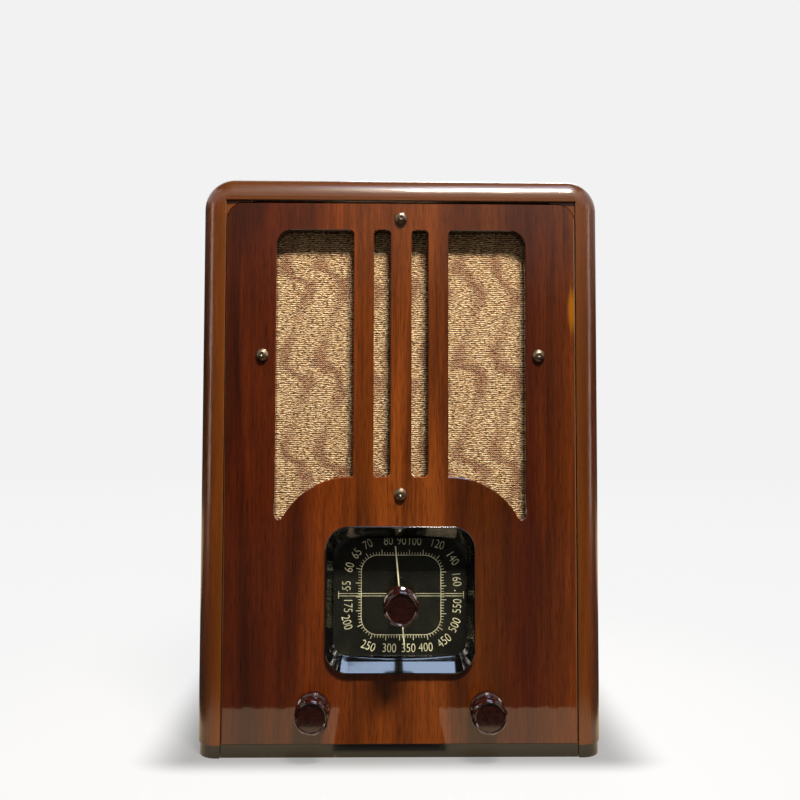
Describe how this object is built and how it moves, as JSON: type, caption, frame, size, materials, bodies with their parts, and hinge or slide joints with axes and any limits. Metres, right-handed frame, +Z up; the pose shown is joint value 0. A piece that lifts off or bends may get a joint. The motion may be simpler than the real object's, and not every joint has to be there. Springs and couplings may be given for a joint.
{
  "type": "tombstone radio",
  "caption": "Upright wooden valve radio with a cloth grille, a square dial, a tuning knob on the dial and a control on each side below.",
  "frame": {"origin": "on the table, in the middle of the whole radio's outline, knobs included", "axes": "+X to the right as seen from the front, +Y towards the back, +Z up"},
  "size_m": [0.283, 0.246, 0.4064],
  "materials": {
    "rim_walnut": "gloss",
    "panel_walnut": "gloss",
    "inner_wood": "matte",
    "black_lacquer": "satin",
    "grille_fabric": "matte",
    "fibre_board": "matte",
    "gasket_card": "matte",
    "cone_paper": "matte",
    "winding_wire": "satin",
    "winding_wrap": "satin",
    "speaker_steel": "satin",
    "core_steel": "matte",
    "bare_steel": "satin",
    "dark_bolt": "satin",
    "plated_steel": "satin",
    "black_moulding": "gloss",
    "brown_moulding": "gloss",
    "clear_glass": "polished",
    "dial_black": "satin",
    "cream_paint": "satin",
    "drive_brass": "satin",
    "vane_aluminium": "satin",
    "can_aluminium": "satin",
    "white_ceramic": "matte",
    "base_phenolic": "satin",
    "sheet_phenolic": "satin",
    "black_rubber": "matte",
    "cover_black": "gloss"
  },
  "bodies": {
    "cabinet": {"side_panel_left": "rim_walnut", "side_panel_right": "rim_walnut", "top_panel": "rim_walnut", "front_panel": "panel_walnut", "corner_blocks": "inner_wood", "panel_cleats": "inner_wood", "base_board": "inner_wood", "plinth_sides": "black_lacquer", "plinth_front": "black_lacquer", "grille_cloth": "grille_fabric", "baffle_board": "fibre_board", "speaker_gasket": "gasket_card", "cone_surround": "cone_paper", "cone_spider": "cone_paper", "field_coil": "winding_wrap", "output_transformer_coil": "winding_wrap", "speaker_basket": "speaker_steel", "pole_plate": "speaker_steel", "field_pot": "speaker_steel", "output_transformer": "core_steel", "power_transformer": "core_steel", "pole_piece": "bare_steel", "speaker_bolts": "dark_bolt", "speaker_nuts": "plated_steel", "dial_bracket": "plated_steel", "lamp_sockets": "plated_steel", "gang_frame": "plated_steel", "chassis_pan": "plated_steel", "chassis_bolts": "plated_steel", "control_bodies": "plated_steel", "control_nuts": "plated_steel", "dial_bezel": "black_moulding", "dial_glass": "clear_glass", "dial_lamps": "clear_glass", "small_tubes": "clear_glass", "large_tubes": "clear_glass", "dial_plate": "dial_black", "drive_body": "drive_brass", "gang_stators": "vane_aluminium", "if_cans": "can_aluminium", "aerial_coil_can": "can_aluminium", "filter_capacitor": "can_aluminium", "stator_insulators": "white_ceramic", "tube_bases": "base_phenolic", "tube_sockets": "sheet_phenolic", "aerial_terminals": "sheet_phenolic", "cord_grommet": "black_rubber", "transformer_covers": "cover_black"},
    "tuner_rotor": {"gang_rotor": "vane_aluminium", "drive_carrier": "drive_brass", "drive_balls": "bare_steel", "dial_pointer": "cream_paint"},
    "tuning_control": {"tuning_knob": "brown_moulding", "tuning_shaft": "bare_steel"},
    "volume_control": {"volume_knob": "brown_moulding", "volume_shaft": "bare_steel"},
    "tone_control": {"tone_knob": "brown_moulding", "tone_shaft": "bare_steel"},
    "cone": {"speaker_cone": "cone_paper", "voice_coil": "winding_wire"}
  },
  "joints": [
    {"name": "gang_turn", "type": "hinge", "parent": "cabinet", "child": "tuner_rotor", "pos_m": [0, -0.045, 0.1085], "axis": [0, 1, 0], "range_deg": [-84.7, 95.3]},
    {"name": "tuning_knob_turn", "type": "hinge", "parent": "cabinet", "child": "tuning_control", "pos_m": [0, -0.093, 0.1085], "axis": [0, 1, 0], "range_deg": [-509, 573]},
    {"name": "volume_turn", "type": "hinge", "parent": "cabinet", "child": "volume_control", "pos_m": [-0.06, -0.093, 0.0344], "axis": [0, 1, 0], "range_deg": [0, 300]},
    {"name": "tone_turn", "type": "hinge", "parent": "cabinet", "child": "tone_control", "pos_m": [0.06, -0.093, 0.0344], "axis": [0, 1, 0], "range_deg": [-150, 150]},
    {"name": "cone_travel", "type": "slide", "parent": "cabinet", "child": "cone", "axis": [0, 1, 0], "range_m": [-0.0015, 0.0015], "stiffness_N_per_m": 3800, "deforming": ["cone_surround", "cone_spider"]}
  ],
  "couplings": [
    {"joint": "tuning_knob_turn", "follows": "gang_turn", "ratio": 6}
  ]
}
